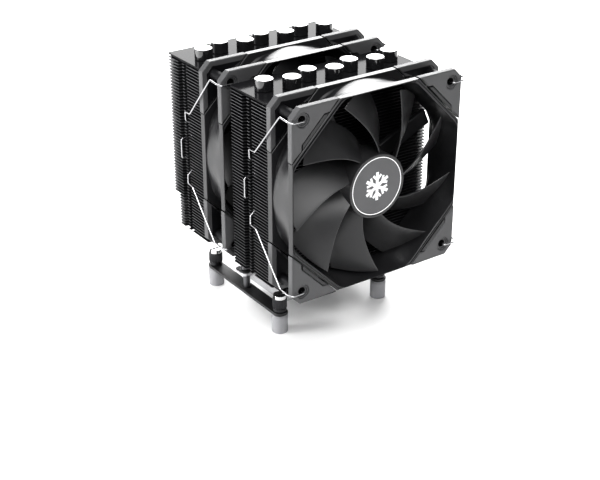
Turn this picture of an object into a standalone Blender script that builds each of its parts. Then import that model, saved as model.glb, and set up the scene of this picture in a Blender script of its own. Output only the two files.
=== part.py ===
"""Dual-tower processor cooler with two 120 mm fans, wire clips and mounting kit.

Metres, +Z up.  X runs across the fans, Y is the airflow from the front fan to the
rear tower.  The origin is the centre of the cold plate's contact face.
"""
import math

import bmesh
import bpy
from mathutils import Matrix, Vector

MM = 0.001

# Fans: standard 120 x 120 x 25 frame, 105 mm hole pattern.
FAN_HALF = 60.0
FAN_DEEP = 25.0
FAN_Z = 96.5
FAN_FRONT = {"front": -82.4, "rear": -10.7}
FLANGE = 4.4
CORNER_CUT = 5.4
SEAM = 88.15
SEAM_STEP = 91.4
SEAM_GAP = 0.5
STEP_START = 34.55
HOLE_AT = 52.5
HOLE_R = 2.4
SINK_R = 4.0
SLEEVE_OF_HOLE_R = 3.4
BORE_R = 58.2
DRUM_R = 59.7
ROTOR_R = 57.0
CUP_R = 19.7
BLADES = 9
TIP_ANGLE = 34.0
ROOT_SPAN = 34.0

# Towers: fin block depth, inner face distance and the plates of each block.
FIN_HALF = 56.5
TOWER_NEAR = {"front": 14.3, "rear": 15.3}
TOWER_FAR = 56.6
SLOT_Y = 35.95
SLOT_HALF = 1.2
SLOT_DEEP = 4.2
GROOVE_SHIFT = 5.95
GROOVE_HALF = 2.35
GROOVE_DEEP = 4.0
EDGE_CUT = 0.8
FIN_Z0 = 36.0
FIN_Z1 = 147.6
FIN_T = 0.9
FIN_COUNT = 8
STEP_Z = 56.0
STEP_Y = 50.6
TOP_Z0 = 148.7
TOP_Z1 = 150.0
CAP_Z1 = 157.0
CAP_R = 5.5

# Heat pipes: seven U shapes, two staggered rows in each tower.
PIPE_R = 3.0
PIPE_BORE = 3.5
SLEEVE_R = 4.6
BASE_PITCH = 6.6
TOWER_PITCH = 15.0
ROW_NEAR = 33.0
ROW_FAR = 39.0
PIPE_Z = 7.2
PIPE_TOP = 149.4
PIPE_STRAIGHT = 20.0

# Mounting kit.
POST_X = 38.5
POST_Y = 37.5
BOARD_Z = -8.3
BRACKET_Z = 4.0
BAR_Z = 16.5

WIRE_R = 0.6
CLIP_REACH = 46.45

PARTS = "dual_tower_cooler"
CUTTERS = "cutters"


def clear_scene():
    for obj in list(bpy.data.objects):
        bpy.data.objects.remove(obj, do_unlink=True)
    for name in (PARTS, CUTTERS):
        coll = bpy.data.collections.new(name)
        bpy.context.scene.collection.children.link(coll)


def place(obj, coll):
    for other in list(obj.users_collection):
        other.objects.unlink(obj)
    bpy.data.collections[coll].objects.link(obj)
    return obj


def material(name, colour, metallic, roughness):
    mat = bpy.data.materials.new(name)
    mat.use_nodes = True
    shader = mat.node_tree.nodes["Principled BSDF"]
    shader.inputs["Base Color"].default_value = (*colour, 1.0)
    shader.inputs["Metallic"].default_value = metallic
    shader.inputs["Roughness"].default_value = roughness
    return mat


def finish(obj, name, look):
    """Name a finished part and give it its own material."""
    obj.name = name
    obj.data.name = name
    obj.data.materials.clear()
    obj.data.materials.append(material(name + "_mat", *look))
    return place(obj, PARTS)


def cutter(obj):
    place(obj, CUTTERS)
    obj.hide_render = True
    obj.display_type = "WIRE"
    return obj


def boolean(obj, tool, operation):
    cutter(tool)
    mod = obj.modifiers.new(operation.title(), "BOOLEAN")
    mod.operation = operation
    mod.solver = "EXACT"
    mod.object = tool
    return obj


def mesh_object(bm, name):
    mesh = bpy.data.meshes.new(name)
    bmesh.ops.recalc_face_normals(bm, faces=bm.faces)
    if bm.calc_volume(signed=True) < 0:
        bmesh.ops.reverse_faces(bm, faces=bm.faces)
    bm.to_mesh(mesh)
    bm.free()
    obj = bpy.data.objects.new(name, mesh)
    return place(obj, PARTS)


def filled(outline, holes):
    """Triangulated flat region between an outline and its holes, in the XY plane."""
    curve = bpy.data.curves.new("region", "CURVE")
    curve.dimensions = "2D"
    curve.fill_mode = "BOTH"
    for loop in (outline, *holes):
        spline = curve.splines.new("POLY")
        spline.points.add(len(loop) - 1)
        for point, (u, v) in zip(spline.points, loop):
            point.co = (u, v, 0.0, 1.0)
        spline.use_cyclic_u = True
    source = bpy.data.objects.new("region", curve)
    bpy.context.scene.collection.objects.link(source)
    bpy.context.view_layer.update()
    mesh = bpy.data.meshes.new_from_object(source)
    bpy.data.objects.remove(source, do_unlink=True)
    verts = [(v.co.x, v.co.y) for v in mesh.vertices]
    return [[verts[i] for i in face.vertices] for face in mesh.polygons]


def add_face(bm, points):
    bm.faces.new([bm.verts.new([c * MM for c in point]) for point in points])


def add_wall(bm, loop, low, high):
    for (u0, v0), (u1, v1) in zip(loop, loop[1:] + loop[:1]):
        add_face(bm, [(u0, v0, low), (u1, v1, low), (u1, v1, high), (u0, v0, high)])


def layered(name, faces, walls, axis="Z"):
    """Closed solid from flat faces (outline, holes, level) and upright walls."""
    bm = bmesh.new()
    for outline, holes, level in faces:
        for face in filled(outline, holes) if holes else [outline]:
            add_face(bm, [(u, v, level) for u, v in face])
    for loop, low, high in walls:
        add_wall(bm, loop, low, high)
    bmesh.ops.remove_doubles(bm, verts=bm.verts, dist=1e-6)
    if axis == "Y":
        bm.transform(Matrix(((1, 0, 0, 0), (0, 0, 1, 0), (0, 1, 0, 0), (0, 0, 0, 1))))
    return mesh_object(bm, name)


def prism(name, outline, low, high, axis="Z", holes=()):
    """A flat outline given a thickness along Z, or along Y with (x, z) points."""
    faces = [(outline, holes, low), (outline, holes, high)]
    return layered(name, faces, [(loop, low, high) for loop in (outline, *holes)], axis)


def circle(radius, centre=(0.0, 0.0), sides=24):
    u, v = centre
    return [(u + radius * math.cos(2 * math.pi * i / sides),
             v + radius * math.sin(2 * math.pi * i / sides)) for i in range(sides)]


def cylinder(name, radius, low, high, centre=(0.0, 0.0), axis="Z", sides=24):
    """A round prism; centre is (x, y) for axis Z and (x, z) for axis Y."""
    return prism(name, circle(radius, centre, sides), low, high, axis)


def box(name, low, high):
    bm = bmesh.new()
    bmesh.ops.create_cube(bm, size=1.0)
    size = [(b - a) * MM for a, b in zip(low, high)]
    centre = [0.5 * (a + b) * MM for a, b in zip(low, high)]
    bmesh.ops.scale(bm, vec=size, verts=bm.verts)
    bmesh.ops.translate(bm, vec=centre, verts=bm.verts)
    return mesh_object(bm, name)


def lathe(name, profile, centre, axis="Z", steps=24):
    """Revolve an (radius, height) profile that starts and ends on the axis."""
    mesh = bpy.data.meshes.new(name)
    verts = [(r * MM, 0.0, h * MM) for r, h in profile]
    mesh.from_pydata(verts, [(i, i + 1) for i in range(len(verts) - 1)], [])
    obj = place(bpy.data.objects.new(name, mesh), PARTS)
    screw = obj.modifiers.new("Screw", "SCREW")
    screw.steps = screw.render_steps = steps
    screw.use_merge_vertices = True
    screw.merge_threshold = 1e-6
    screw.use_normal_calculate = True
    obj.location = [c * MM for c in centre]
    if axis == "Y":
        obj.rotation_euler = (math.radians(-90), 0.0, 0.0)
    return obj


def tube(name, points, radius, detail):
    """A solid wire or pipe along a polyline."""
    curve = bpy.data.curves.new(name, "CURVE")
    curve.dimensions = "3D"
    curve.bevel_depth = radius * MM
    curve.bevel_resolution = detail
    curve.use_fill_caps = True
    spline = curve.splines.new("POLY")
    spline.points.add(len(points) - 1)
    for point, co in zip(spline.points, points):
        point.co = (*[c * MM for c in co], 1.0)
    source = bpy.data.objects.new(name, curve)
    bpy.context.scene.collection.objects.link(source)
    bpy.context.view_layer.update()
    mesh = bpy.data.meshes.new_from_object(source)
    bpy.data.objects.remove(source, do_unlink=True)
    bm = bmesh.new()
    bm.from_mesh(mesh)
    bmesh.ops.remove_doubles(bm, verts=bm.verts, dist=1e-6)
    return mesh_object(bm, name)


def round_corners(points, radius):
    """Cut every sharp inner corner of a polyline with two nearby points."""
    out = [points[0]]
    for a, b, c in zip(points, points[1:], points[2:]):
        a, b, c = Vector(a), Vector(b), Vector(c)
        back, ahead = a - b, c - b
        if back.angle(ahead) > math.radians(125):
            out.append(tuple(b))
            continue
        cut = min(radius, 0.4 * back.length, 0.4 * ahead.length)
        out.append(tuple(b + back.normalized() * cut))
        out.append(tuple(b + ahead.normalized() * cut))
    out.append(points[-1])
    return out


# ---------------------------------------------------------------- base and pipes

def pipe_rows():
    """Index, lateral place in the base, lateral place and depth in the towers."""
    for k in range(-3, 4):
        row = ROW_NEAR if k % 2 else ROW_FAR
        yield k + 4, k * BASE_PITCH, k * TOWER_PITCH, row


def pipe_path(base_x, tower_x, row):
    """Half of the U: straight in the base, quarter bend, spread, then upright."""
    bend = row - PIPE_STRAIGHT
    heights = [(PIPE_STRAIGHT + bend * math.sin(a), PIPE_Z + bend * (1 - math.cos(a)))
               for a in (math.radians(d) for d in (0, 18, 36, 54, 72, 90))]
    last = heights[-1][1]
    heights += [(row, last + (35.2 - last) * f) for f in (0.34, 0.67, 1.0)]
    points = []
    for y, z in heights:
        s = min(max((z - 10.5) / 24.7, 0.0), 1.0)
        s = s * s * (3 - 2 * s)
        points.append((base_x + (tower_x - base_x) * s, y, z))
    points.append((tower_x, row, PIPE_TOP))
    return points


def heat_pipes():
    for index, base_x, tower_x, row in pipe_rows():
        half = pipe_path(base_x, tower_x, row)
        other = [(x, -y, z) for x, y, z in reversed(half)]
        pipe = tube(f"heat_pipe_{index}", other + half, PIPE_R, 2)
        finish(pipe, f"heat_pipe_{index}", ((0.02, 0.02, 0.022), 1.0, 0.28))


def pipe_cutters(obj, radius):
    for _, base_x, _, _ in pipe_rows():
        groove = cylinder("groove", radius, -40, 40, (base_x, PIPE_Z), "Y", 16)
        boolean(obj, groove, "DIFFERENCE")


def base():
    plate = box("cold_plate", (-26, -22, 0), (26, 22, 7.0))
    pipe_cutters(plate, PIPE_R + 0.25)
    finish(plate, "cold_plate", ((0.55, 0.55, 0.56), 1.0, 0.25))
    cover = box("base_cover", (-25, -19.5, 7.4), (25, 19.5, 16.2))
    pipe_cutters(cover, PIPE_R + 0.25)
    finish(cover, "base_cover", ((0.03, 0.03, 0.032), 1.0, 0.35))


# ---------------------------------------------------------------- fin towers

def fin_outline(near, far):
    """Plan of one fin: wire slot and groove in both ends, clipped corners."""
    front, back = sorted((near, far))
    slot = math.copysign(SLOT_Y, near)
    groove = slot + GROOVE_SHIFT
    half = FIN_HALF
    right = [(half - EDGE_CUT, front), (half, front + EDGE_CUT),
             (half, slot - SLOT_HALF), (half - SLOT_DEEP, slot - SLOT_HALF),
             (half - SLOT_DEEP, slot + SLOT_HALF), (half, slot + SLOT_HALF),
             (half, groove - GROOVE_HALF), (half - GROOVE_DEEP, groove - 0.5 * GROOVE_HALF),
             (half - GROOVE_DEEP, groove + 0.5 * GROOVE_HALF), (half, groove + GROOVE_HALF),
             (half, back - EDGE_CUT), (half - EDGE_CUT, back)]
    left = [(-x, y) for x, y in reversed(right)]
    return right + left


def bores(side, radius):
    """Outlines of the seven round openings of one tower."""
    loops = []
    for _, _, tower_x, row in pipe_rows():
        loops.append([(tower_x + radius * math.cos(math.pi * (i + 0.5) / 4),
                       side * row + radius * math.sin(math.pi * (i + 0.5) / 4))
                      for i in range(8)])
    return loops


def fin_stack(place_name, side):
    """Fins joined by the drawn collars that sleeve every pipe."""
    collars, drills = bores(side, SLEEVE_R), bores(side, PIPE_BORE)
    pitch = (FIN_Z1 - FIN_Z0 - FIN_T) / (FIN_COUNT - 1)
    faces, walls = [], []
    for i in range(FIN_COUNT):
        z = FIN_Z0 + i * pitch
        far = STEP_Y if side > 0 and z < STEP_Z else TOWER_FAR
        outline = fin_outline(side * TOWER_NEAR[place_name], side * far)
        faces += [(outline, collars, z), (outline, collars, z + FIN_T)]
        walls.append((outline, z, z + FIN_T))
        if i:
            walls += [(loop, z - pitch + FIN_T, z) for loop in collars]
    for outer, inner in zip(collars, drills):
        walls.append((inner, FIN_Z0, FIN_Z1))
        faces += [(outer, (inner,), FIN_Z0), (outer, (inner,), FIN_Z1)]
    stack = layered("fins", faces, walls)
    finish(stack, f"fin_stack_{place_name}", ((0.02, 0.02, 0.022), 0.6, 0.38))


def top_plate(place_name, side):
    near, far = sorted((side * TOWER_NEAR[place_name], side * TOWER_FAR))
    half, cut = FIN_HALF, EDGE_CUT
    outline = [(half - cut, near), (half, near + cut), (half, far - cut), (half - cut, far),
               (-half + cut, far), (-half, far - cut), (-half, near + cut), (-half + cut, near)]
    plate = prism("top", outline, TOP_Z0, TOP_Z1, holes=bores(side, PIPE_BORE))
    finish(plate, f"top_plate_{place_name}", ((0.16, 0.16, 0.17), 1.0, 0.12))


def caps(place_name, side):
    for index, _, tower_x, row in pipe_rows():
        low = TOP_Z1 + 0.1
        profile = [(0, low), (CAP_R, low), (CAP_R, CAP_Z1 - 0.8), (CAP_R - 0.8, CAP_Z1), (0, CAP_Z1)]
        cap = lathe("cap", profile, (tower_x, side * row, 0.0), steps=14)
        finish(cap, f"pipe_cap_{place_name}_{index}", ((0.012, 0.012, 0.013), 0.8, 0.15))


# ---------------------------------------------------------------- fans

def mirror4(quarter):
    """Close an outline from its upper-right quarter, listed from top to right side."""
    right_low = [(x, -z) for x, z in reversed(quarter)]
    left_low = [(-x, -z) for x, z in quarter]
    left_top = [(-x, z) for x, z in reversed(quarter)]
    return quarter + right_low + left_low + left_top


def shift(loop, dx, dz):
    return [(x + dx, z + dz) for x, z in loop]


def seam_quarter(shift_out):
    """Stepped diagonal between frame and corner pad, as x + z = constant stretches."""
    line, step = SEAM + shift_out, SEAM_STEP + shift_out
    upper = [(line - FAN_HALF, FAN_HALF), (STEP_START, line - STEP_START),
             (STEP_START + 3.65, step - STEP_START - 3.65)]
    return upper + [(z, x) for x, z in reversed(upper)]


def frame_quarter():
    return seam_quarter(-0.5 * SEAM_GAP)


def pad_quarter():
    cut = FAN_HALF - CORNER_CUT
    return [(cut, FAN_HALF), (FAN_HALF, cut)] + seam_quarter(0.5 * SEAM_GAP)[::-1]


def fan_frame(place_name, y0):
    outline = shift(mirror4(frame_quarter()), 0, FAN_Z)
    centre = (0.0, FAN_Z)
    drum, bore = circle(DRUM_R, centre, 40), circle(BORE_R, centre, 40)
    y1, y2, y3 = y0 + FLANGE, y0 + FAN_DEEP - FLANGE, y0 + FAN_DEEP
    faces = [(outline, (bore,), y0), (outline, (drum,), y1), (outline, (drum,), y2),
             (outline, (bore,), y3)]
    walls = [(outline, y0, y1), (drum, y1, y2), (outline, y2, y3), (bore, y0, y3)]
    body = layered("frame", faces, walls, "Y")
    for i, turn in enumerate((25, 115)):
        arm = [(-59.0, -2.5), (59.0, -2.5), (59.0, 2.5), (-59.0, 2.5)]
        c, s = math.cos(math.radians(turn)), math.sin(math.radians(turn))
        arm = [(x * c - z * s, x * s + z * c + FAN_Z) for x, z in arm]
        depth = y0 + 21.4 + 0.3 * i
        boolean(body, prism("arm", arm, depth, y0 + 24.6 - 0.2 * i, "Y"), "UNION")
    boolean(body, cylinder("motor_seat", 20.6, y0 + 20.9, y0 + FAN_DEEP, centre, "Y", 32), "UNION")
    boolean(body, cylinder("bearing_tube", 6.2, y0 + 9.5, y0 + 23.0, centre, "Y", 16), "UNION")
    boolean(body, cylinder("bearing_bore", 1.9, y0 + 5.0, y0 + 24.2, centre, "Y", 12), "DIFFERENCE")
    finish(body, f"fan_frame_{place_name}", ((0.02, 0.02, 0.021), 0.0, 0.42))


def corner_pads(place_name, y0):
    corners = (("tr", 1, 1), ("tl", -1, 1), ("br", 1, -1), ("bl", -1, -1))
    for tag, sx, sz in corners:
        loop = [(sx * x, sz * z + FAN_Z) for x, z in pad_quarter()]
        hole = (sx * HOLE_AT, sz * HOLE_AT + FAN_Z)
        sleeve, drill, sink = (circle(r, hole, 12) for r in (SLEEVE_OF_HOLE_R, HOLE_R, SINK_R))
        y1, y2, y3 = y0 + FLANGE, y0 + FAN_DEEP - FLANGE, y0 + FAN_DEEP
        faces = [(loop, (sink,), y0), (sink, (drill,), y0 + 1.2), (loop, (sleeve,), y1),
                 (loop, (sleeve,), y2), (loop, (drill,), y3)]
        walls = [(loop, y0, y1), (sink, y0, y0 + 1.2), (drill, y0 + 1.2, y3), (sleeve, y1, y2),
                 (loop, y2, y3)]
        pad = layered("pad", faces, walls, "Y")
        finish(pad, f"corner_pad_{place_name}_{tag}", ((0.045, 0.045, 0.047), 0.0, 0.6))


def blade_lead(radius):
    """Angle of the leading edge, swept back from the tip towards the hub (degrees)."""
    t = (ROTOR_R - radius) / (ROTOR_R - CUP_R)
    return -(17.0 * t + 13.0 * t * t)


def blades():
    """Nine swept blades as thin curved sheets given a thickness."""
    bm = bmesh.new()
    radii = (18.9, 30.0, 43.0, ROTOR_R)
    chord = (0.0, 0.34, 0.67, 1.0)
    for n in range(BLADES):
        grid = []
        for r in radii:
            reach = (r - CUP_R) / (ROTOR_R - CUP_R)
            span = ROOT_SPAN - 8.0 * reach
            row = []
            for s in chord:
                a = math.radians(TIP_ANGLE + 360.0 / BLADES * n + blade_lead(r) - span * s)
                depth = 2.2 + (15.6 - 2.0 * reach) * (1.15 * s - 0.15 * s * s)
                row.append(bm.verts.new((r * math.cos(a) * MM, depth * MM, r * math.sin(a) * MM)))
            grid.append(row)
        for inner, outer in zip(grid, grid[1:]):
            for i in range(len(chord) - 1):
                bm.faces.new((inner[i], inner[i + 1], outer[i + 1], outer[i]))
    mesh = bpy.data.meshes.new("blades")
    bm.to_mesh(mesh)
    bm.free()
    obj = place(bpy.data.objects.new("blades", mesh), PARTS)
    skin = obj.modifiers.new("Solidify", "SOLIDIFY")
    skin.thickness = 1.3 * MM
    skin.offset = 0.0
    skin.use_even_offset = False
    return obj


def impeller(place_name, y0):
    profile = [(0, 0.6), (19.2, 0.6), (CUP_R, 1.1), (CUP_R, 20.0), (17.8, 20.0), (17.8, 3.0),
               (4.0, 3.0), (4.0, 8.0), (1.6, 8.0), (1.6, 3.4), (0, 3.4)]
    rotor = lathe("rotor", profile, (0.0, y0, FAN_Z), "Y", 24)
    vanes = blades()
    vanes.location = (0.0, y0 * MM, FAN_Z * MM)
    boolean(rotor, vanes, "UNION")
    finish(rotor, f"impeller_{place_name}", ((0.022, 0.022, 0.024), 0.0, 0.4))
    shaft = cylinder("shaft", 1.5, y0 + 3.5, y0 + 23.8, (0.0, FAN_Z), "Y", 12)
    finish(shaft, f"shaft_{place_name}", ((0.6, 0.6, 0.6), 1.0, 0.2))
    centre = (0.0, FAN_Z)
    core = circle(6.6, centre, 16)
    coil = prism("coil", circle(15.5, centre, 16), y0 + 10.0, y0 + 20.0, "Y", (core,))
    finish(coil, f"stator_{place_name}", ((0.35, 0.16, 0.07), 0.8, 0.4))


# ---------------------------------------------------------------- wire clips

def clip_points():
    """Wire on the left side, from the upper hole to the lower one, fan-relative."""
    slot = CLIP_REACH
    return [(-52.5, 3.5, 52.5), (-52.5, -1.4, 52.5), (-60.4, -1.4, 52.7), (-62.2, 1.2, 53.4),
            (-62.2, 8.3, 54.0), (-60.1, 36.7, 23.4), (-57.7, slot, 21.3), (-57.5, slot, 15.8),
            (-53.6, slot, 12.4), (-53.6, slot, 4.3), (-61.2, slot, 4.3), (-61.2, slot, -8.6),
            (-53.6, slot, -8.6), (-53.6, slot, -17.6), (-57.5, slot, -21.0),
            (-57.7, slot, -26.6), (-60.1, 36.8, -25.0), (-62.2, 9.0, -51.4),
            (-62.2, 1.2, -52.2), (-60.4, -1.4, -52.6), (-52.5, -1.4, -52.5),
            (-52.5, 3.5, -52.5)]


def clips(place_name, y0, side):
    slot_shift = side * SLOT_Y - (y0 + CLIP_REACH)
    for tag, sx in (("left", 1), ("right", -1)):
        points = []
        for x, y, z in clip_points():
            y += slot_shift * min(max((y - 10.0) / 36.0, 0.0), 1.0)
            points.append((sx * x, y0 + y, FAN_Z + z))
        wire = tube("wire", round_corners(points, 1.2), WIRE_R, 1)
        finish(wire, f"clip_{place_name}_{tag}", ((0.6, 0.6, 0.62), 1.0, 0.22))


# ---------------------------------------------------------------- mounting kit

def bracket(tag, sx):
    x0 = sx * POST_X
    end = POST_Y + 6.0
    loop = [(x0 - 5, -end + 3), (x0 - 2, -end), (x0 + 2, -end), (x0 + 5, -end + 3),
            (x0 + 5, end - 3), (x0 + 2, end), (x0 - 2, end), (x0 - 5, end - 3)]
    holes = [[(x0 + 2.6 * math.cos(math.pi * i / 6), y + 2.6 * math.sin(math.pi * i / 6))
              for i in range(12)] for y in (-POST_Y, 0.0, POST_Y)]
    plate = prism("bracket", loop, BRACKET_Z, BRACKET_Z + 2.0, holes=holes)
    finish(plate, f"bracket_{tag}", ((0.02, 0.02, 0.021), 0.9, 0.4))


def post(tag, x, y):
    low, high = BOARD_Z, BRACKET_Z - 0.2
    bore = circle(2.6, (x, y), 12)
    pillar = prism("standoff", circle(5.0, (x, y), 20), low, high, holes=(bore,))
    finish(pillar, f"standoff_{tag}", ((0.30, 0.30, 0.31), 0.0, 0.5))
    base_z = BRACKET_Z + 2.2
    profile = [(0, 0.5), (2.2, 0.5), (2.2, base_z), (4.5, base_z), (4.5, 16.9), (4.0, 17.5), (0, 17.5)]
    nut = lathe("nut", profile, (x, y, 0.0), steps=14)
    boolean(nut, box("slot", (x - 6, y - 0.7, 16.3), (x + 6, y + 0.7, 19.0)), "DIFFERENCE")
    finish(nut, f"thumb_nut_{tag}", ((0.05, 0.05, 0.052), 0.9, 0.4))


def crossbar():
    end = POST_X + 6.0
    loop = [(-end, -3), (-end + 3, -6), (end - 3, -6), (end, -3), (end, 3), (end - 3, 6),
            (-end + 3, 6), (-end, 3)]
    holes = [[(x + 2.6 * math.cos(math.pi * i / 6), 2.6 * math.sin(math.pi * i / 6))
              for i in range(12)] for x in (-POST_X, POST_X)]
    bar = prism("bar", loop, BAR_Z, BAR_Z + 2.2, holes=holes)
    finish(bar, "crossbar", ((0.5, 0.5, 0.51), 1.0, 0.3))
    for tag, x in (("left", -POST_X), ("right", POST_X)):
        profile = [(0, 4.2), (2.2, 4.2), (2.2, 19.0), (4.2, 19.0), (4.2, 27.4), (3.8, 28.0), (0, 28.0)]
        screw = lathe("screw", profile, (x, 0.0, 0.0), steps=14)
        boolean(screw, box("cross_a", (x - 2.6, -0.6, 26.4), (x + 2.6, 0.6, 29.0)), "DIFFERENCE")
        finish(screw, f"crossbar_screw_{tag}", ((0.6, 0.6, 0.6), 1.0, 0.25))


def mounting_kit():
    crossbar()
    for tag, sx in (("left", -1), ("right", 1)):
        bracket(tag, sx)
    for tag, sx, sy in (("fl", -1, -1), ("fr", 1, -1), ("rl", -1, 1), ("rr", 1, 1)):
        post(tag, sx * POST_X, sy * POST_Y)


def build():
    clear_scene()
    base()
    heat_pipes()
    for place_name, side in (("front", -1), ("rear", 1)):
        y0 = FAN_FRONT[place_name]
        fin_stack(place_name, side)
        top_plate(place_name, side)
        caps(place_name, side)
        fan_frame(place_name, y0)
        corner_pads(place_name, y0)
        impeller(place_name, y0)
        clips(place_name, y0, side)
    mounting_kit()


build()
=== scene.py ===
"""Looks of the dual-tower processor cooler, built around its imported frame.

Lengths are millimetres, and every mesh is scaled to metres as it is finished.
X runs across the fans, Y is the airflow from the front fan to the rear tower, +Z is up.
"""
import math

import bmesh
import bpy
from mathutils import Matrix, Vector


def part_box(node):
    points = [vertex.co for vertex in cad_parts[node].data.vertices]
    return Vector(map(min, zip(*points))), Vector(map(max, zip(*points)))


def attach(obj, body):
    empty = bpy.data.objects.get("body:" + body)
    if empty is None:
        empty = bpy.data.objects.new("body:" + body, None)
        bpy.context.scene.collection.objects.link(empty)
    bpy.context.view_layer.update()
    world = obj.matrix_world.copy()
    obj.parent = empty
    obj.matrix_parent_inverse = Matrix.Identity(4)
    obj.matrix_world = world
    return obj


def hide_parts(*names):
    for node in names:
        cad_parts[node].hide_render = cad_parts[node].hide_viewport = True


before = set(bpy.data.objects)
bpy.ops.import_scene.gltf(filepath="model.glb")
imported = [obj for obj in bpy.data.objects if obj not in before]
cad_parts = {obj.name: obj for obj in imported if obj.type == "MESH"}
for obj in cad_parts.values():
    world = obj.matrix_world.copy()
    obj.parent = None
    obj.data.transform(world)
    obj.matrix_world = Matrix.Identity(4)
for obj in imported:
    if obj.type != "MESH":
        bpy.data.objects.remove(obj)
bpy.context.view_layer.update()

MM = 0.001
TAU = 2.0 * math.pi
SIDES = {"front": -1, "rear": 1}
CORNERS = {"tr": (1, 1), "tl": (-1, 1), "br": (1, -1), "bl": (-1, -1)}


def extent(node):
    """Lowest and highest corner of a CAD node, in millimetres."""
    low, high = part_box(node)
    return low / MM, high / MM


# ---------------------------------------------------------------- dimensions

FAN_LOW, FAN_HIGH = extent("fan_frame_front")
FAN_HALF = FAN_HIGH.x
FAN_DEEP = FAN_HIGH.y - FAN_LOW.y
FAN_Z = 0.5 * (FAN_LOW.z + FAN_HIGH.z)
FAN_FRONT = {place: extent(f"fan_frame_{place}")[0].y for place in SIDES}
FLANGE = 4.4
SEAM_LINE = 88.2        # x + z along the seam between frame and corner pad
SEAM_STEP = 91.5
SEAM_GAP = 0.9
PAD_PROUD = 0.45
PAD_LIP = 3.2
STEP_START = 34.8
STEP_RUN = 3.4
CORNER_CUT = 5.4
HOLE_AT = 52.5
OPENING_IN = 59.0
BARREL_OUT = 59.5
DUCT_R = 58.5
HUB_R = 19.7
ARM_TURN = 25.0
ARM_HALF = 2.4
WIDE_ARM_HALF = 5.2
BLADE_TIP = 57.0
BLADES = 9
BLADE_TURN = 34.0
BLADE_SPAN = 34.0       # degrees covered by a blade at its root
SPAN_LOSS = 8.0
BLADE_DEPTH = 15.6

FIN_PITCH = 1.99
FIN_T = 0.42
SHORT_BELOW = 56.0      # the rear tower's fins are shorter below this height
SHORT_BY = 6.0
PIPE_R = 3.0
ROW_NEAR = 33.0
ROW_FAR = 39.0
TOWER_PITCH = 15.0
BASE_PITCH = 6.6
PIPE_Z = 7.2
PIPE_RUN = 20.0         # half length of a pipe's straight part in the base
SPREAD_FROM = 10.5
SPREAD_END = 35.2
SLOT_Y = 35.95
SLOT_HALF = 1.2
SLOT_DEEP = 4.2
GROOVE_SHIFT = 5.95
GROOVE_HALF = 2.35
GROOVE_DEEP = 4.0
EDGE_CUT = 0.8
CLIP_Y = 46.45
WIRE_R = 0.5
POST_X = 38.5
POST_Y = 37.5


# ---------------------------------------------------------------- materials

def noise(nodes, links, source, size, stretch=(1, 1, 1), detail=3.0):
    """Noise whose features are about size millimetres across."""
    mapping = nodes.new("ShaderNodeMapping")
    mapping.inputs["Scale"].default_value = [s / (size * MM) for s in stretch]
    texture = nodes.new("ShaderNodeTexNoise")
    texture.inputs["Scale"].default_value = 1.0
    texture.inputs["Detail"].default_value = detail
    links.new(source, mapping.inputs["Vector"])
    links.new(mapping.outputs["Vector"], texture.inputs["Vector"])
    return texture.outputs["Fac"]


def surface(name, colour, metallic, roughness, specular=0.5, coat=0.0, coat_roughness=0.1,
            cloud=14.0, tint=0.12, grain=0.35, stretch=(1, 1, 1), relief=0.004, spread=0.06):
    """Principled finish with soft colour clouding, uneven gloss and a fine grain."""
    mat = bpy.data.materials.new(name)
    mat.use_nodes = True
    nodes, links = mat.node_tree.nodes, mat.node_tree.links
    shader = nodes["Principled BSDF"]
    place = nodes.new("ShaderNodeTexCoord").outputs["Object"]
    cloudy = noise(nodes, links, place, cloud)
    fine = noise(nodes, links, place, grain, stretch, 2.0)
    ramp = nodes.new("ShaderNodeValToRGB")
    ramp.color_ramp.elements[0].position = 0.3
    ramp.color_ramp.elements[1].position = 0.7
    ramp.color_ramp.elements[0].color = (*[c * (1.0 - tint) for c in colour], 1.0)
    ramp.color_ramp.elements[1].color = (*[min(c * (1.0 + tint), 1.0) for c in colour], 1.0)
    links.new(cloudy, ramp.inputs["Fac"])
    links.new(ramp.outputs["Color"], shader.inputs["Base Color"])
    mix = nodes.new("ShaderNodeMath")
    mix.operation = "MULTIPLY_ADD"
    mix.inputs[1].default_value = 0.5
    links.new(fine, mix.inputs[0])
    links.new(cloudy, mix.inputs[2])
    gloss = nodes.new("ShaderNodeMapRange")
    gloss.inputs["From Min"].default_value = 0.45
    gloss.inputs["From Max"].default_value = 1.05
    gloss.inputs["To Min"].default_value = max(roughness - spread, 0.02)
    gloss.inputs["To Max"].default_value = roughness + spread
    links.new(mix.outputs["Value"], gloss.inputs["Value"])
    links.new(gloss.outputs["Result"], shader.inputs["Roughness"])
    bump = nodes.new("ShaderNodeBump")
    bump.inputs["Strength"].default_value = 0.5
    bump.inputs["Distance"].default_value = relief * MM
    links.new(fine, bump.inputs["Height"])
    links.new(bump.outputs["Normal"], shader.inputs["Normal"])
    shader.inputs["Metallic"].default_value = metallic
    shader.inputs["Specular IOR Level"].default_value = specular
    shader.inputs["Coat Weight"].default_value = coat
    shader.inputs["Coat Roughness"].default_value = coat_roughness
    return mat


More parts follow.
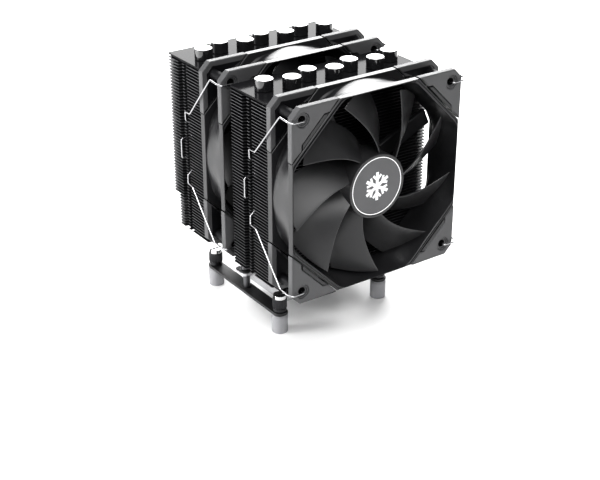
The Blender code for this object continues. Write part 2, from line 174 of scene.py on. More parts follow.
LOOKS = {
    "copper_plate": surface("contact_plate_look", (0.50, 0.50, 0.51), 1.0, 0.24, stretch=(1, 9, 1)),
    "black_block": surface("black_block_look", (0.035, 0.035, 0.037), 0.9, 0.36),
    "black_nickel_pipe": surface("black_pipe_look", (0.06, 0.06, 0.063), 1.0, 0.22),
    # Near-black fin coating. The same colour is also painted as shade on the pad sleeves between the
    # flanges.
    "black_fins": surface("black_fin_and_shade_look", (0.006, 0.006, 0.007), 0.0, 0.50, specular=0.15),
    # Lighter grey for the fins' upright faces: partly the bare metal of the stamped edges, partly a
    # painted highlight standing in for lit edges.
    "fin_edge_and_highlight": surface("fin_rim_and_highlight_look", (0.06, 0.06, 0.063), 0.7, 0.40, cloud=5.0, tint=0.25),
    "black_nickel_plate": surface("black_nickel_look", (0.012, 0.012, 0.013), 0.0, 0.30, specular=0.0,
                                  coat=0.2, coat_roughness=0.12, cloud=30.0, relief=0.001),
    "gloss_cap": surface("gloss_cap_look", (0.012, 0.012, 0.013), 0.0, 0.13, specular=0.8,
                         coat=1.0, coat_roughness=0.04, relief=0.001, spread=0.04),
    "frame_plastic": surface("frame_plastic_look", (0.013, 0.013, 0.014), 0.0, 0.36),
    "pad_rubber": surface("pad_rubber_look", (0.060, 0.060, 0.062), 0.0, 0.50,
                          grain=0.5, relief=0.012, tint=0.08),
    "impeller_plastic": surface("impeller_look", (0.021, 0.021, 0.022), 0.0, 0.36, relief=0.003),
    "badge": surface("badge_look", (0.085, 0.085, 0.088), 0.2, 0.42, stretch=(1, 1, 8)),
    "print": surface("white_print_look", (0.86, 0.86, 0.86), 0.0, 0.45, tint=0.03, relief=0.002),
    "shaft_steel": surface("shaft_steel_look", (0.62, 0.62, 0.62), 1.0, 0.20, stretch=(1, 8, 1)),
    "stator_metal": surface("stator_look", (0.42, 0.17, 0.07), 0.9, 0.36, grain=0.6, relief=0.05),
    "clip_wire": surface("clip_wire_look", (0.42, 0.42, 0.43), 1.0, 0.24, cloud=9.0),
    "bar_steel": surface("bar_steel_look", (0.52, 0.52, 0.53), 1.0, 0.30, stretch=(8, 1, 1)),
    "screw_steel": surface("screw_steel_look", (0.62, 0.62, 0.62), 1.0, 0.22),
    "bracket_steel": surface("bracket_look", (0.022, 0.022, 0.023), 0.3, 0.55, grain=0.6, relief=0.006),
    "spring_steel": surface("spring_steel_look", (0.11, 0.11, 0.115), 0.9, 0.34),
    "standoff_plastic": surface("standoff_look", (0.24, 0.24, 0.25), 0.0, 0.45),
    "nut_black": surface("nut_black_look", (0.035, 0.035, 0.037), 0.8, 0.36),
}


# ---------------------------------------------------------------- mesh helpers

def finish(bm, name, looks, body, nodes=(), crease=32.0, merge=1e-4):
    """Turn millimetre geometry into a shaded piece that rides on a CAD body."""
    looks = [looks] if isinstance(looks, str) else looks
    bmesh.ops.remove_doubles(bm, verts=bm.verts, dist=merge)
    bmesh.ops.recalc_face_normals(bm, faces=bm.faces)
    bmesh.ops.scale(bm, vec=(MM, MM, MM), verts=bm.verts)
    mesh = bpy.data.meshes.new(name)
    bm.to_mesh(mesh)
    bm.free()
    mesh.shade_smooth()
    mesh.set_sharp_from_angle(angle=math.radians(crease))
    for look in looks:
        mesh.materials.append(LOOKS[look])
    obj = bpy.data.objects.new(name, mesh)
    bpy.context.scene.collection.objects.link(obj)
    normals = obj.modifiers.new("Weighted normals", "WEIGHTED_NORMAL")
    normals.keep_sharp = True
    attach(obj, body)
    if nodes:
        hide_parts(*nodes)
    return obj


def fillet(points, radius, steps=5, closed=False):
    """Round the corners of a path."""
    points = [Vector(p) for p in points]
    out = []
    for i, corner in enumerate(points):
        if not closed and i in (0, len(points) - 1):
            out.append(corner)
            continue
        back = points[i - 1] - corner
        ahead = points[(i + 1) % len(points)] - corner
        angle = back.angle(ahead)
        if math.pi - angle < 0.05:
            out.append(corner)
            continue
        cut = min(radius / math.tan(0.5 * angle), 0.48 * back.length, 0.48 * ahead.length)
        start = corner + back.normalized() * cut
        end = corner + ahead.normalized() * cut
        for k in range(steps + 1):
            t = k / steps
            out.append(start * (1 - t) ** 2 + corner * (2 * t * (1 - t)) + end * t * t)
    return out


def ring(radius, centre=(0.0, 0.0), sides=40):
    """Points of a circle in a plane."""
    return [(centre[0] + radius * math.cos(TAU * i / sides),
             centre[1] + radius * math.sin(TAU * i / sides)) for i in range(sides)]


def signed_area(loop):
    return 0.5 * sum(a[0] * b[1] - b[0] * a[1] for a, b in zip(loop, loop[1:] + loop[:1]))


def slab(loops, low, high, bevel=0.0, axis="Z", steps=2):
    """Flat outline with holes, given a thickness along Z or Y and rounded edges."""
    curve = bpy.data.curves.new("slab", "CURVE")
    curve.dimensions = "2D"
    curve.fill_mode = "BOTH"
    curve.extrude = 0.5 * (high - low) - bevel
    curve.bevel_depth = bevel
    curve.bevel_resolution = steps
    curve.offset = -bevel
    for index, loop in enumerate(loops):
        loop = [(p[0], p[1]) for p in loop]
        if (signed_area(loop) > 0) == (index > 0):
            loop.reverse()
        spline = curve.splines.new("POLY")
        spline.points.add(len(loop) - 1)
        for point, (u, v) in zip(spline.points, loop):
            point.co = (u, v, 0.0, 1.0)
        spline.use_cyclic_u = True
    bm = curve_mesh(curve)
    bmesh.ops.translate(bm, vec=(0, 0, 0.5 * (low + high)), verts=bm.verts)
    if axis == "Y":
        bm.transform(Matrix(((1, 0, 0, 0), (0, 0, 1, 0), (0, 1, 0, 0), (0, 0, 0, 1))))
    return bm


def curve_mesh(curve):
    """Mesh of a curve, with its seams merged."""
    source = bpy.data.objects.new("source", curve)
    bpy.context.scene.collection.objects.link(source)
    bpy.context.view_layer.update()
    mesh = bpy.data.meshes.new_from_object(source)
    bpy.data.objects.remove(source, do_unlink=True)
    bm = bmesh.new()
    bm.from_mesh(mesh)
    bpy.data.meshes.remove(mesh)
    bmesh.ops.remove_doubles(bm, verts=bm.verts, dist=1e-4)
    return bm


def wire(points, radius, detail=4):
    """Round wire along a path."""
    curve = bpy.data.curves.new("wire", "CURVE")
    curve.dimensions = "3D"
    curve.bevel_depth = radius
    curve.bevel_resolution = detail
    curve.use_fill_caps = True
    spline = curve.splines.new("POLY")
    spline.points.add(len(points) - 1)
    for point, co in zip(spline.points, points):
        point.co = (*co, 1.0)
    return curve_mesh(curve)


def turned(bm, profile, centre=(0.0, 0.0, 0.0), axis="Z", steps=48, closed=False):
    """Add a (radius, height) profile revolved about an axis through centre."""
    origin = Vector(centre)
    rows = []
    for radius, height, *_ in profile:
        row = []
        for i in range(steps if radius > 1e-6 else 1):
            u = radius * math.cos(TAU * i / steps)
            v = radius * math.sin(TAU * i / steps)
            offset = (u, v, height) if axis == "Z" else (u, height, v)
            row.append(bm.verts.new(origin + Vector(offset)))
        rows.append(row)
    pairs = list(zip(rows, rows[1:]))
    if closed:
        pairs.append((rows[-1], rows[0]))
    for a, b in pairs:
        for i in range(steps):
            j = (i + 1) % steps
            corners = [a[i % len(a)], a[j % len(a)], b[j % len(b)], b[i % len(b)]]
            bm.faces.new(list(dict.fromkeys(corners)))
    return bm


def skin(bm, rows, around=True, along=False):
    """Join rows of points with quads, around each row and from row to row."""
    rows = [[bm.verts.new(p) for p in row] for row in rows]
    pairs = list(zip(rows, rows[1:]))
    if along:
        pairs.append((rows[-1], rows[0]))
    for a, b in pairs:
        for i in range(len(a) if around else len(a) - 1):
            j = (i + 1) % len(a)
            bm.faces.new((a[i], a[j], b[j], b[i]))
    return rows


def add(bm, other):
    """Append another bmesh to this one."""
    mesh = bpy.data.meshes.new("joined")
    other.to_mesh(mesh)
    other.free()
    bm.from_mesh(mesh)
    bpy.data.meshes.remove(mesh)
    return bm


def smoothstep(value):
    value = min(max(value, 0.0), 1.0)
    return value * value * (3.0 - 2.0 * value)


# ---------------------------------------------------------------- base and heat pipes

def pipe_rows():
    """Index, lateral place in the base, lateral place and depth in the towers."""
    for k in range(-3, 4):
        yield k + 4, k * BASE_PITCH, k * TOWER_PITCH, ROW_NEAR if k % 2 else ROW_FAR


def notched(width, far_z, near_z, corner):
    """Section of a block whose near_z side has a round groove for every pipe."""
    groove = PIPE_R + 0.2
    sign = 1 if far_z > near_z else -1
    start = math.asin((near_z - PIPE_Z) / groove * sign)
    points = [(-width, near_z)]
    for _, base_x, _, _ in pipe_rows():
        for i in range(11):
            angle = math.pi - start - (math.pi - 2 * start) * i / 10
            points.append((base_x + groove * math.cos(angle),
                           PIPE_Z + sign * groove * math.sin(angle)))
    points += [(width, near_z), (width, far_z - sign * corner), (width - corner, far_z),
               (-width + corner, far_z), (-width, far_z - sign * corner)]
    return points


def base():
    low, high = extent("cold_plate")
    plate = slab([notched(high.x, low.z, high.z, 0.6)], low.y, high.y, 0.0, "Y")
    finish(plate, "cold_plate_copper", "copper_plate", "cooler", ["cold_plate"])
    low, high = extent("base_cover")
    block = slab([notched(high.x, high.z, low.z, 1.6)], low.y, high.y, 0.0, "Y")
    finish(block, "base_cover_block", "black_block", "cooler", ["base_cover"])


def heat_pipes():
    top = extent("heat_pipe_4")[1].z
    for index, base_x, tower_x, row in pipe_rows():
        bend = row - PIPE_RUN
        lift = PIPE_Z + bend
        half = []
        for i in range(13):
            a = 0.5 * math.pi * i / 12
            half.append((PIPE_RUN + bend * math.sin(a), PIPE_Z + bend * (1 - math.cos(a))))
        half += [(row, lift + (SPREAD_END - lift) * i / 8) for i in range(1, 9)]
        points = []
        for y, z in half:
            slide = smoothstep((z - SPREAD_FROM) / (SPREAD_END - SPREAD_FROM))
            points.append((base_x + (tower_x - base_x) * slide, y, z))
        points.append((tower_x, row, top))
        path = [(x, -y, z) for x, y, z in reversed(points)] + points
        name = f"heat_pipe_{index}"
        finish(wire(path, PIPE_R, 6), name + "_tube", "black_nickel_pipe", "cooler", [name])


# ---------------------------------------------------------------- fin towers

def fin_outline(low, high, side, back):
    """Plan of one fin: wire slot and groove in both ends, clipped corners."""
    half = high.x
    slot = side * SLOT_Y
    groove = slot + GROOVE_SHIFT
    right = [(half - EDGE_CUT, low.y), (half, low.y + EDGE_CUT),
             (half, slot - SLOT_HALF), (half - SLOT_DEEP, slot - SLOT_HALF),
             (half - SLOT_DEEP, slot + SLOT_HALF), (half, slot + SLOT_HALF),
             (half, groove - GROOVE_HALF), (half - GROOVE_DEEP, groove - 0.5 * GROOVE_HALF),
             (half - GROOVE_DEEP, groove + 0.6 * GROOVE_HALF), (half, groove + GROOVE_HALF),
             (half, back - EDGE_CUT), (half - EDGE_CUT, back)]
    return right + [(-x, y) for x, y in reversed(right)]


def fin_stacks():
    for place, side in SIDES.items():
        name = f"fin_stack_{place}"
        low, high = extent(name)
        count = round((high.z - low.z - FIN_T) / FIN_PITCH) + 1
        pitch = (high.z - low.z - FIN_T) / (count - 1)
        bores = [ring(PIPE_R + 0.5, (x, side * row), 20) for _, _, x, row in pipe_rows()]
        full = bpy.data.meshes.new("fin")
        short = bpy.data.meshes.new("fin")
        for mesh, back in ((full, high.y), (short, high.y - (SHORT_BY if side > 0 else 0.0))):
            sheet = slab([fin_outline(low, high, side, back)] + bores, 0.0, FIN_T)
            for face in sheet.faces:
                face.normal_update()
                # Upright faces (outer edges, slots and bores) take the lighter edge colour, which is
                # partly bare stamped edge and partly painted highlight.
                face.material_index = 0 if abs(face.normal.z) > 0.5 else 1
            sheet.to_mesh(mesh)
            sheet.free()
        bm = bmesh.new()
        for i in range(count):
            z = low.z + i * pitch
            before = len(bm.verts)
            bm.from_mesh(short if z < SHORT_BELOW else full)
            bm.verts.ensure_lookup_table()
            bmesh.ops.translate(bm, vec=(0, 0, z), verts=bm.verts[before:])
        for _, _, x, row in pipe_rows():
            sleeve = [(PIPE_R + 0.1, low.z + 0.1), (PIPE_R + 0.6, low.z + 0.1),
                      (PIPE_R + 0.6, high.z - 0.1), (PIPE_R + 0.1, high.z - 0.1)]
            turned(bm, sleeve, (x, side * row, 0.0), steps=20, closed=True)
        finish(bm, f"fins_{place}", ["black_fins", "fin_edge_and_highlight"], "cooler", [name])


def sheet_outline(low, high, inset):
    """Rounded rectangle of a top plate, set in from its edges."""
    x, near, far = high.x - inset, low.y + inset, high.y - inset
    return fillet([(x, far, 0), (-x, far, 0), (-x, near, 0), (x, near, 0)], 1.2, 4, True)


def top_plates():
    for place, side in SIDES.items():
        name = f"top_plate_{place}"
        low, high = extent(name)
        plate = slab([sheet_outline(low, high, 0.0)], high.z - 0.9, high.z, 0.3, steps=3)
        finish(plate, f"top_sheet_{place}", "black_nickel_plate", "cooler", [name])
        liner = slab([sheet_outline(low, high, 1.2)], low.z - 0.9, high.z - 0.9, 0.2)
        finish(liner, f"top_liner_{place}", "black_fins", "cooler")


def caps():
    for place, side in SIDES.items():
        for index, _, x, row in pipe_rows():
            name = f"pipe_cap_{place}_{index}"
            low, high = extent(name)
            radius = 0.5 * (high.x - low.x)
            profile = [(0, low.z), (radius - 0.3, low.z), (radius, low.z + 0.4), (radius, high.z),
                       (0, high.z)]
            profile = fillet([(*p, 0.0) for p in profile], 0.55, 5)
            bm = turned(bmesh.new(), profile, (x, side * row, 0.0), steps=56)
            finish(bm, f"cap_{place}_{index}", "gloss_cap", "cooler", [name])


# ---------------------------------------------------------------- fans

def four_ways(quarter):
    """Close an outline from its upper-right quarter, listed from top to right side."""
    return (quarter + [(x, -z) for x, z in reversed(quarter)] + [(-x, -z) for x, z in quarter]
            + [(-x, z) for x, z in reversed(quarter)])


def seam():
    """Stepped edge of a corner pad, from the top edge to the right edge."""
    upper = [(SEAM_LINE - FAN_HALF, FAN_HALF), (STEP_START, SEAM_LINE - STEP_START),
             (STEP_START + STEP_RUN, SEAM_STEP - STEP_START - STEP_RUN)]
    return upper + [(z, x) for x, z in reversed(upper)]


def step_strip():
    """Raised bar of the frame that fills the step of a pad."""
    low, high = SEAM_LINE + 0.1, SEAM_STEP - 0.5
    upper = [(STEP_START + 0.6, low - STEP_START - 0.6), (STEP_START + 3.5, high - STEP_START - 3.5)]
    return upper + [(z, x) for x, z in reversed(upper)]


def polar(loop, angle):
    """Distance from the centre to a closed outline, along an angle."""
    u, v = math.cos(angle), math.sin(angle)
    best = None
    for (x0, z0), (x1, z1) in zip(loop, loop[1:] + loop[:1]):
        cross = u * (z1 - z0) - v * (x1 - x0)
        if abs(cross) < 1e-9:
            continue
        along = (x0 * (z1 - z0) - z0 * (x1 - x0)) / cross
        share = (x0 * v - z0 * u) / cross
        if along > 0 and -1e-6 <= share <= 1 + 1e-6:
            best = along if best is None else min(best, along)
    return best


def octagon(inner, angle, sharpness=54.0):
    """Polar radius of a regular octagon with softened corners."""
    total = sum(abs(math.cos(angle - k * math.pi / 4)) ** sharpness for k in range(4))
    return inner * total ** (-1.0 / sharpness)


def duct(angle, y, wall):
    """Radius of the duct, octagonal at the front and round at the rear."""
    blend = smoothstep(y / 16.0)
    inner = OPENING_IN + wall
    if not wall:
        blend *= 1.0 - smoothstep((y - 18.0) / 6.5)
        inner -= 0.8 * smoothstep(y / FAN_DEEP)
    return octagon(inner, angle) * (1 - blend) + (DUCT_R + wall) * blend


def frames():
    line = SEAM_LINE - SEAM_GAP
    side = FAN_HALF - PAD_PROUD
    outline = four_ways([(line - side, side), (side, line - side)])
    corners = [math.atan2(z, x) % TAU for x, z in outline]
    samples = sorted(set([TAU * i / 176 for i in range(176)] + corners))
    angles = [a for i, a in enumerate(samples) if a - samples[i - 1] > 1e-4 or i == 0]
    edge = [polar(outline, a) for a in angles]
    for place, y0 in FAN_FRONT.items():
        def loop(radii, y):
            return [(r * math.cos(a), y0 + y, FAN_Z + r * math.sin(a))
                    for r, a in zip(radii, angles)]

        wall = BARREL_OUT - OPENING_IN
        back = FAN_DEEP - FLANGE
        inside = [duct(a, 0.0, 0.0) for a in angles]
        width = [e - r for e, r in zip(edge, inside)]
        lip = [[r + min(a, b * w) for r, w in zip(inside, width)]
               for a, b in ((0.9, 0.4), (1.1, 0.46), (1.7, 0.62), (1.9, 0.68))]
        rows = [loop(lip[3], 0.2), loop(lip[2], 0.9), loop(lip[1], 0.9), loop(lip[0], 0.0),
                loop([r + min(0.25, 0.2 * w) for r, w in zip(inside, width)], 0.0), loop(inside, 0.35)]
        for i in range(1, 11):
            y = 0.35 + (FAN_DEEP - 0.7) * i / 10
            rows.append(loop([duct(a, y, 0.0) for a in angles], y))
        rows.append(loop([duct(a, FAN_DEEP, 0.0) + 0.3 for a in angles], FAN_DEEP))
        rows.append(loop([r - 0.3 for r in edge], FAN_DEEP))
        rows.append(loop(edge, FAN_DEEP - 0.3))
        rows.append(loop(edge, back + 0.25))
        rows.append(loop([r - 0.25 for r in edge], back))
        for i in range(9):
            y = back + (FLANGE - back) * i / 8
            rows.append(loop([min(duct(a, y, wall), r - 0.3) for a, r in zip(angles, edge)], y))
        rows.append(loop([r - 0.25 for r in edge], FLANGE))
        rows.append(loop(edge, FLANGE - 0.25))
        rows.append(loop(edge, 0.6))
        rows.append(loop([r - min(0.35, 0.2 * w) for r, w in zip(edge, width)], 0.2))
        bm = bmesh.new()
        skin(bm, rows, along=True)
        for sx, sz in CORNERS.values():
            bar = fillet([(sx * x, sz * z + FAN_Z, 0) for x, z in step_strip()], 0.3, 2, True)
            add(bm, slab([bar], y0, y0 + FLANGE, 0.3, "Y"))
            add(bm, slab([bar], y0 + back, y0 + FAN_DEEP, 0.3, "Y"))
        for k in range(4):
            turn = math.radians(ARM_TURN + 90 * k)
            wide = WIDE_ARM_HALF if k == 0 else ARM_HALF
            arm = slab([fillet([(19, -wide, 0), (58.7, -wide, 0), (58.7, wide, 0), (19, wide, 0)],
                               0.2, 2, True)], FAN_DEEP - 3.6, FAN_DEEP - 0.3, 0.7, "Y")
            arm.transform(Matrix.Rotation(-turn, 4, "Y"))
            arm.transform(Matrix.Translation((0, y0, FAN_Z)))
            add(bm, arm)
        seat = [(0, 22.4), (18.9, 22.4), (19.3, 21.0), (20.6, 21.0), (20.6, 24.9), (0, 24.9)]
        turned(bm, fillet([(*p, 0.0) for p in seat], 0.4, 3), (0, y0, FAN_Z), "Y", 64)
        tower = [(1.9, 9.5), (6.2, 9.5), (6.2, 23.0), (1.9, 23.0)]
        turned(bm, tower, (0, y0, FAN_Z), "Y", 32, True)
        finish(bm, f"frame_{place}", "frame_plastic", "cooler", [f"fan_frame_{place}"])


def pads():
    quarter = ([(FAN_HALF - CORNER_CUT, FAN_HALF), (FAN_HALF, FAN_HALF - CORNER_CUT)]
               + list(reversed(seam())))
    for place, y0 in FAN_FRONT.items():
        back = FAN_DEEP - FLANGE
        for tag, (sx, sz) in CORNERS.items():
            centre = (sx * HOLE_AT, sz * HOLE_AT + FAN_Z)
            loop = [(sx * x, sz * z + FAN_Z) for x, z in quarter]
            outline = fillet([(*p, 0.0) for p in loop], 0.35, 2, True)
            holes = [ring(4.25, centre, 40)]
            bm = slab([outline] + holes, y0, y0 + FLANGE, 0.7, "Y", 3)
            add(bm, slab([outline] + holes, y0 + back, y0 + FAN_DEEP, 0.55, "Y", 3))
            cut, edge = FAN_HALF - CORNER_CUT, FAN_HALF - PAD_LIP
            web = [(cut - 0.6 * PAD_LIP, edge), (edge, cut - 0.6 * PAD_LIP),
                   (edge, SEAM_LINE - edge + 1),
                   (STEP_START + 4.5, SEAM_STEP - STEP_START - 3.2),
                   (SEAM_LINE - edge + 1, edge)]
            web = [(sx * x, sz * z + FAN_Z) for x, z in web]
            add(bm, slab([web, ring(2.6, centre, 24)], y0 + FLANGE - 0.2, y0 + FLANGE + 0.35, 0, "Y"))
            add(bm, slab([web, ring(2.6, centre, 24)], y0 + back - 0.35, y0 + back + 0.2, 0, "Y"))
            sleeve = [(2.35, 1.6), (3.2, 1.5), (3.4, 0.7), (3.9, 0.7), (4.3, 1.1), (4.3, 3.8),
                      (2.9, 4.2), (2.9, 20.8), (4.3, 21.2), (4.3, 23.9), (3.9, 24.3), (2.35, 24.1)]
            turned(bm, sleeve, (centre[0], y0, centre[1]), "Y", 40, True)
            # Faces between the two flanges take the near-black fin colour instead of the rubber:
            # painted shade between the flanges.
            for face in bm.faces:
                middle = face.calc_center_median().y - y0
                face.material_index = int(FLANGE + 0.05 < middle < back - 0.05)
            name = f"corner_pad_{place}_{tag}"
            finish(bm, f"pad_{place}_{tag}", ["pad_rubber", "black_fins"], "cooler", [name])


def blade_point(r, share, n):
    """Point on a blade's middle surface: polar radius, share of the chord, blade number."""
    reach = (r - HUB_R) / (BLADE_TIP - HUB_R)
    t = 1.0 - reach
    lead = -(17.0 * t + 13.0 * t * t)
    span = BLADE_SPAN - SPAN_LOSS * reach
    angle = math.radians(BLADE_TURN + 360.0 / BLADES * n + lead - span * share)
    depth = 2.2 + (BLADE_DEPTH - 2.0 * reach) * (1.15 * share - 0.15 * share * share)
    return Vector((r * math.cos(angle), depth, r * math.sin(angle)))


def blade(bm, n):
    """One swept blade as a closed skin, thickest near its root and leading third."""
    columns, rows = 18, 14
    radii = [HUB_R - 0.8 + (BLADE_TIP - HUB_R + 0.8) * i / (rows - 1) for i in range(rows)]
    loops = []
    for r in radii:
        upper, lower = [], []
        for i in range(columns + 1):
            share = 0.5 - 0.5 * math.cos(math.pi * i / columns)
            here = blade_point(r, share, n)
            ahead = blade_point(r, share + 0.01, n) - blade_point(r, share - 0.01, n)
            out = blade_point(r + 0.5, share, n) - blade_point(r - 0.5, share, n)
            normal = ahead.cross(out).normalized()
            root = 1.0 - 0.35 * (r - HUB_R) / (BLADE_TIP - HUB_R)
            half = root * (0.28 + 0.62 * math.sin(math.pi * min(share * 1.25, 1.0) ** 0.8) ** 0.7)
            if i in (0, columns):
                half *= 0.35
            upper.append(here + normal * half)
            lower.append(here - normal * half)
        loops.append(upper + lower[::-1])
    made = skin(bm, loops)
    bm.faces.new(made[0][::-1])
    bm.faces.new(made[-1])


def snowflake():
    """Plain six-armed sign in the hub plane."""
    loops = [ring(1.9, sides=24)]
    for k in range(6):
        turn = math.radians(30 + 60 * k)
        bars = [((0.8, 0.0), (8.8, 0.0), 0.95), ((3.9, 0.0), (6.9, 2.8), 0.7),
                ((3.9, 0.0), (6.9, -2.8), 0.7)]
        for (x0, z0), (x1, z1), half in bars:
            along = Vector((x1 - x0, z1 - z0)).normalized()
            side = Vector((-along.y, along.x)) * half
            ends = (Vector((x0, z0)), Vector((x1, z1)))
            points = [ends[0] + side, ends[0] - side, ends[1] - side, ends[1] + side]
            c, s = math.cos(turn), math.sin(turn)
            loops.append([(p.x * c - p.y * s, p.x * s + p.y * c) for p in points])
    return loops


def impellers():
    for place, y0 in FAN_FRONT.items():
        body = f"rotor_{place}"
        at = (0.0, y0, FAN_Z)
        bm = bmesh.new()
        shell = [(0, 1.0), (18.1, 1.0), (18.3, 0.6), (HUB_R, 0.6), (HUB_R, 20.0), (17.8, 20.0),
                 (17.8, 3.0), (4.0, 3.0), (4.0, 8.0), (1.6, 8.0), (1.6, 3.4), (0, 3.4)]
        turned(bm, fillet([(*p, 0.0) for p in shell], 0.5, 4), (0, 0, 0), "Y", 96)
        for n in range(BLADES):
            blade(bm, n)
        bmesh.ops.translate(bm, vec=at, verts=bm.verts)
        finish(bm, f"rotor_{place}", "impeller_plastic", body, [f"impeller_{place}"])
        disc = [(0, 0.82), (17.0, 0.82), (17.0, 1.02), (0, 1.02)]
        finish(turned(bmesh.new(), disc, at, "Y", 96), f"hub_badge_{place}", "badge", body)
        band = [(17.3, 0.76), (17.8, 0.76), (17.8, 1.02), (17.3, 1.02)]
        finish(turned(bmesh.new(), band, at, "Y", 96, True), f"hub_ring_{place}", "print", body)
        sign = bmesh.new()
        for i, loop in enumerate(snowflake()):
            add(sign, slab([loop], 0.70 + 0.002 * (i % 3), 0.86, 0.0, "Y"))
        bmesh.ops.translate(sign, vec=at, verts=sign.verts)
        finish(sign, f"hub_sign_{place}", "print", body)
        low, high = extent(f"shaft_{place}")
        pin = [(0, low.y), (1.5, low.y), (1.5, high.y), (0, high.y)]
        pin = fillet([(*p, 0.0) for p in pin], 0.3, 3)
        finish(turned(bmesh.new(), pin, (0, 0, FAN_Z), "Y", 32), f"shaft_pin_{place}",
               "shaft_steel", body, [f"shaft_{place}"])
        low, high = extent(f"stator_{place}")
        coil = [(6.6, low.y), (15.5, low.y), (15.5, high.y), (6.6, high.y)]
        coil = fillet([(*p, 0.0) for p in coil], 2.2, 5, True)
        finish(turned(bmesh.new(), coil, (0, 0, FAN_Z), "Y", 48, True), f"stator_coil_{place}",
               "stator_metal", "cooler", [f"stator_{place}"])


# ---------------------------------------------------------------- wire clips

def clip_points():
    """Wire on the left side, from the upper hole to the lower one, fan-relative."""
    return [(-52.5, 3.5, 52.5), (-52.5, -1.4, 52.5), (-60.4, -1.4, 52.7), (-62.2, 1.2, 53.4),
            (-62.2, 8.3, 54.0), (-60.1, 36.7, 23.4), (-57.7, CLIP_Y, 21.3), (-57.5, CLIP_Y, 15.8),
            (-53.6, CLIP_Y, 12.4), (-53.6, CLIP_Y, 4.3), (-61.2, CLIP_Y, 4.3),
            (-61.2, CLIP_Y, -8.6), (-53.6, CLIP_Y, -8.6), (-53.6, CLIP_Y, -17.6),
            (-57.5, CLIP_Y, -21.0), (-57.7, CLIP_Y, -26.6), (-60.1, 36.8, -25.0),
            (-62.2, 9.0, -51.4), (-62.2, 1.2, -52.2), (-60.4, -1.4, -52.6),
            (-52.5, -1.4, -52.5), (-52.5, 3.5, -52.5)]


def clips():
    for place, y0 in FAN_FRONT.items():
        slide = SIDES[place] * SLOT_Y - (y0 + CLIP_Y)
        for tag, sx in (("left", 1), ("right", -1)):
            points = []
            for x, y, z in clip_points():
                share = min(max((y - 10.0) / 36.0, 0.0), 1.0)
                points.append((sx * x, y0 + y + slide * share, FAN_Z + z))
            bm = wire(fillet(points, 1.5, 6), WIRE_R, 5)
            name = f"clip_{place}_{tag}"
            finish(bm, f"wire_{place}_{tag}", "clip_wire", f"wire_{place}_{tag}", [name], 40)


# ---------------------------------------------------------------- mounting kit

def strip(name, width_loop, holes, low, high, look, node):
    """Flat bar with rounded ends and screw holes, in place of a CAD node."""
    outline = fillet([(*p, 0.0) for p in width_loop], 4.3, 7, True)
    bm = slab([outline] + [ring(2.6, h, 28) for h in holes], low, high, 0.3)
    finish(bm, name, look, "cooler", [node])


def knurled(bm, profile, centre, teeth, depth):
    """Revolved profile whose rim is cut by fine upright grooves."""
    steps = teeth * 4
    rows = []
    for radius, height, cut in profile:
        row = []
        for i in range(steps):
            angle = TAU * i / steps
            r = radius - (depth if cut and i % 4 in (2, 3) else 0.0)
            row.append((centre[0] + r * math.cos(angle), centre[1] + r * math.sin(angle), height))
        rows.append(row)
    made = skin(bm, rows)
    bm.faces.new(made[0][::-1])
    bm.faces.new(made[-1])


def mounting_kit():
    low, high = extent("crossbar")
    end, half = high.x, high.y
    bar = [(-end, -half), (end, -half), (end, half), (-end, half)]
    strip("crossbar_plate", bar, [(-POST_X, 0), (POST_X, 0)], low.z, high.z, "bar_steel", "crossbar")
    for tag, sx in (("left", -1), ("right", 1)):
        node = f"bracket_{tag}"
        low, high = extent(node)
        loop = [(low.x + 0.4, low.y + 1.3), (high.x - 0.4, low.y + 1.3),
                (high.x - 0.4, high.y - 1.3), (low.x + 0.4, high.y - 1.3)]
        spots = [(sx * POST_X, y) for y in (-POST_Y, 0.0, POST_Y)]
        strip(f"bracket_plate_{tag}", loop, spots, low.z, high.z, "bracket_steel", node)
        node = f"crossbar_screw_{tag}"
        low, high = extent(node)
        centre = (sx * POST_X, 0.0, 0.0)
        head = [(0, low.z), (2.2, low.z), (2.2, 24.2), (4.2, 24.2), (4.2, high.z), (1.7, high.z),
                (1.5, high.z - 1.6), (0, high.z - 1.6)]
        bm = turned(bmesh.new(), fillet([(*p, 0.0) for p in head], 0.35, 3), centre, steps=40)
        finish(bm, f"spring_screw_{tag}", "spring_steel", "cooler", [node])
        coil = []
        for i in range(5 * 20 + 1):
            angle = TAU * i / 20
            coil.append((centre[0] + 3.3 * math.cos(angle), 3.3 * math.sin(angle),
                         19.3 + 4.4 * i / 100))
        finish(wire(coil, 0.4, 3), f"spring_{tag}", "spring_steel", "cooler")
    for tag in ("fl", "fr", "rl", "rr"):
        node = f"standoff_{tag}"
        low, high = extent(node)
        centre = (0.5 * (low.x + high.x), 0.5 * (low.y + high.y), 0.0)
        post = [(2.6, low.z), (5.0, low.z), (5.0, high.z - 1.1), (4.6, high.z - 0.9),
                (4.6, high.z), (2.6, high.z)]
        bm = turned(bmesh.new(), fillet([(*p, 0.0) for p in post], 0.3, 3, True), centre, "Z", 48, True)
        finish(bm, f"standoff_body_{tag}", "standoff_plastic", "cooler", [node])
        node = f"thumb_nut_{tag}"
        low, high = extent(node)
        bm = bmesh.new()
        profile = [(3.3, 6.2, 0), (4.2, 6.6, 0), (4.2, 8.2, 0), (3.9, 8.5, 0), (4.5, 9.0, 1),
                   (4.5, 14.4, 1), (4.2, 14.9, 0), (3.9, 15.1, 0)]
        knurled(bm, profile, centre, 30, 0.22)
        turned(bm, [(0, low.z), (2.2, low.z), (2.2, 6.4), (0, 6.4)], centre, steps=32)
        finish(bm, f"nut_{tag}", "nut_black", "cooler", [node])
        for k in (-1, 1):
            arc = [(4.1 * math.cos(math.radians(a)), 4.1 * math.sin(math.radians(a)))
                   for a in range(12, 169, 6)]
            loop = [(centre[0] + x, centre[1] + k * max(y, 0.75)) for x, y in arc]
            tip = slab([loop], 14.9, high.z, 0.25)
            finish(tip, f"nut_tip_{tag}_{'a' if k < 0 else 'b'}", "screw_steel", "cooler")


# ---------------------------------------------------------------- studio

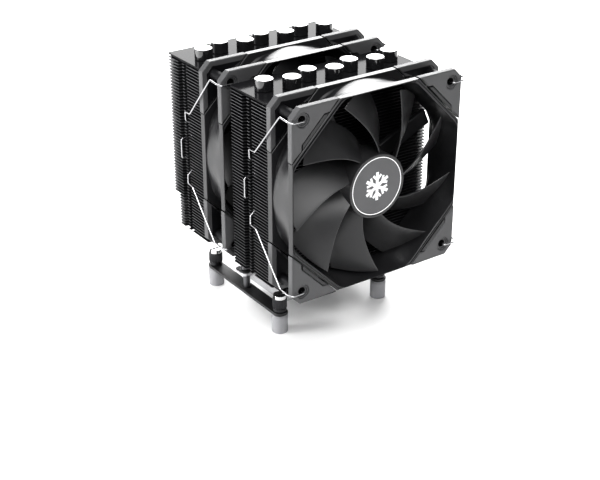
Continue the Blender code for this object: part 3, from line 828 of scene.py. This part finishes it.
def studio():
    floor_z = extent("standoff_fl")[0].z
    bm = bmesh.new()
    bmesh.ops.create_grid(bm, x_segments=2, y_segments=2, size=6.0)
    mesh = bpy.data.meshes.new("floor")
    bm.to_mesh(mesh)
    bm.free()
    floor = bpy.data.objects.new("floor", mesh)
    floor.location.z = (floor_z - 0.05) * MM
    bpy.context.scene.collection.objects.link(floor)
    mesh.materials.append(surface("floor_look", (0.86, 0.86, 0.86), 0.0, 0.6, specular=0.2,
                                  cloud=300.0, tint=0.01, relief=0.0))

    world = bpy.data.worlds.new("studio")
    world.use_nodes = True
    nodes, links = world.node_tree.nodes, world.node_tree.links
    fill = nodes["Background"]
    fill.inputs["Strength"].default_value = 0.2
    fill.inputs["Color"].default_value = (1.0, 1.0, 1.0, 1.0)
    wall = nodes.new("ShaderNodeBackground")
    wall.inputs["Strength"].default_value = 0.85
    wall.inputs["Color"].default_value = (1.0, 1.0, 1.0, 1.0)
    seen = nodes.new("ShaderNodeLightPath")
    mix = nodes.new("ShaderNodeMixShader")
    links.new(seen.outputs["Is Camera Ray"], mix.inputs["Fac"])
    links.new(fill.outputs["Background"], mix.inputs[1])
    links.new(wall.outputs["Background"], mix.inputs[2])
    links.new(mix.outputs["Shader"], nodes["World Output"].inputs["Surface"])
    bpy.context.scene.world = world

    sun = bpy.data.lights.new("soft_sun", "SUN")
    sun.energy = 2.2
    sun.angle = math.radians(60)
    sky = bpy.data.objects.new("soft_sun", sun)
    sky.rotation_euler = Vector((0.35, 0.55, -1.0)).to_track_quat("-Z", "Y").to_euler()
    bpy.context.scene.collection.objects.link(sky)

    def softbox(name, place, aim, size, power):
        light = bpy.data.lights.new(name, "AREA")
        light.shape = "RECTANGLE"
        light.size, light.size_y = size
        light.energy = power
        obj = bpy.data.objects.new(name, light)
        obj.location = place
        obj.rotation_euler = (Vector(aim) - Vector(place)).to_track_quat("-Z", "Y").to_euler()
        bpy.context.scene.collection.objects.link(obj)

    softbox("back_light", (0.75, 1.25, 0.85), (0, 0, 0.08), (1.6, 0.9), 40)
    softbox("top_light", (0.0, 0.1, 1.4), (0, 0, 0.1), (1.1, 1.1), 5)
    softbox("left_light", (-1.1, 0.45, 0.35), (0, 0, 0.09), (0.5, 0.9), 20)
    softbox("front_light", (-0.35, -1.0, 0.8), (0, 0, 0.08), (0.7, 0.5), 5)


def camera():
    data = bpy.data.cameras.new("camera")
    data.lens = 75.93
    data.sensor_width = 36.0
    obj = bpy.data.objects.new("camera", data)
    obj.location = (-0.4170, -0.5998, 0.3986)
    obj.rotation_euler = (math.radians(90 - 26.91), 0.0, math.radians(-35.0))
    bpy.context.scene.collection.objects.link(obj)
    bpy.context.scene.camera = obj
    bpy.context.scene.view_settings.view_transform = "Standard"
    bpy.context.scene.view_settings.look = "Medium High Contrast"


base()
heat_pipes()
fin_stacks()
top_plates()
caps()
frames()
pads()
impellers()
clips()
mounting_kit()
studio()
camera()
